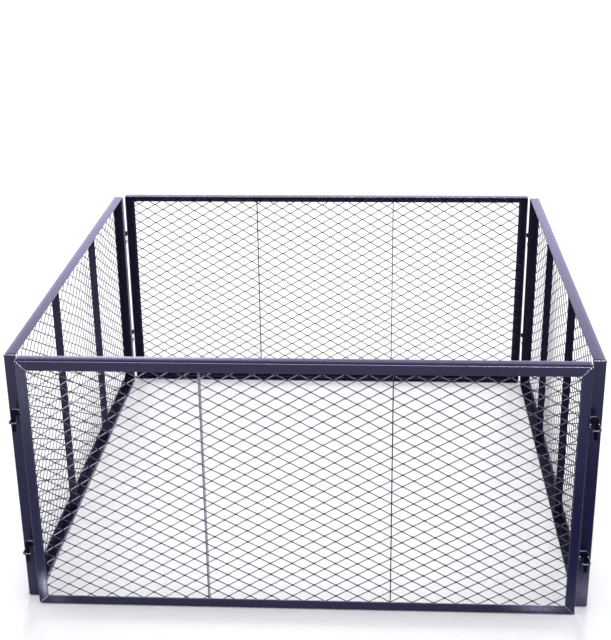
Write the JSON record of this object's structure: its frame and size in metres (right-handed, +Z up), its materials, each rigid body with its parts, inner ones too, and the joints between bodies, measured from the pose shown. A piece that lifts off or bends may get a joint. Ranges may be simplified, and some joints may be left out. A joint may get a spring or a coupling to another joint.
{
  "type": "metal compost bin",
  "caption": "Open square garden compost bin of steel angle frames filled with expanded metal, its panels joined by drop-in hooks and eyes.",
  "frame": {"origin": "middle of the square footprint, on the ground", "axes": "+Z up from the ground; +X towards the right side panel, -Y towards the front panel"},
  "size_m": [1.5788, 1.5788, 0.75],
  "materials": {
    "frame": "satin dark anthracite powder coat with a violet cast, over steel",
    "mesh": "satin dark anthracite powder coat with a violet cast, over steel mesh",
    "bar": "satin dark anthracite powder coat with a violet cast, over steel bar",
    "hook": "satin dark anthracite powder coat with a violet cast, over steel, worn bright at the edges that rub",
    "eye": "satin dark anthracite powder coat with a violet cast, over steel, worn bright where the hook rubs"
  },
  "bodies": {
    "side_panels": {"left_bottom_rail": "frame", "left_top_rail": "frame", "left_rear_upright": "frame", "left_front_upright": "frame", "left_mesh": "mesh", "left_rear_bar": "bar", "left_front_bar": "bar", "left_eye_upper_rear": "eye", "left_eye_lower_rear": "eye", "left_eye_upper_front": "eye", "left_eye_lower_front": "eye", "right_bottom_rail": "frame", "right_top_rail": "frame", "right_front_upright": "frame", "right_rear_upright": "frame", "right_mesh": "mesh", "right_front_bar": "bar", "right_rear_bar": "bar", "right_eye_upper_front": "eye", "right_eye_lower_front": "eye", "right_eye_upper_rear": "eye", "right_eye_lower_rear": "eye"},
    "front_panel": {"front_bottom_rail": "frame", "front_top_rail": "frame", "front_left_upright": "frame", "front_right_upright": "frame", "front_mesh": "mesh", "front_left_bar": "bar", "front_right_bar": "bar", "front_hook_upper_left": "hook", "front_hook_lower_left": "hook", "front_hook_upper_right": "hook", "front_hook_lower_right": "hook"},
    "back_panel": {"back_bottom_rail": "frame", "back_top_rail": "frame", "back_right_upright": "frame", "back_left_upright": "frame", "back_mesh": "mesh", "back_right_bar": "bar", "back_left_bar": "bar", "back_hook_upper_right": "hook", "back_hook_lower_right": "hook", "back_hook_upper_left": "hook", "back_hook_lower_left": "hook"}
  },
  "joints": [
    {"name": "front_panel_lift", "type": "slide", "parent": "side_panels", "child": "front_panel", "axis": [0, 0, 1], "range_m": [0, 0.12]},
    {"name": "back_panel_lift", "type": "slide", "parent": "side_panels", "child": "back_panel", "axis": [0, 0, 1], "range_m": [0, 0.12]}
  ]
}
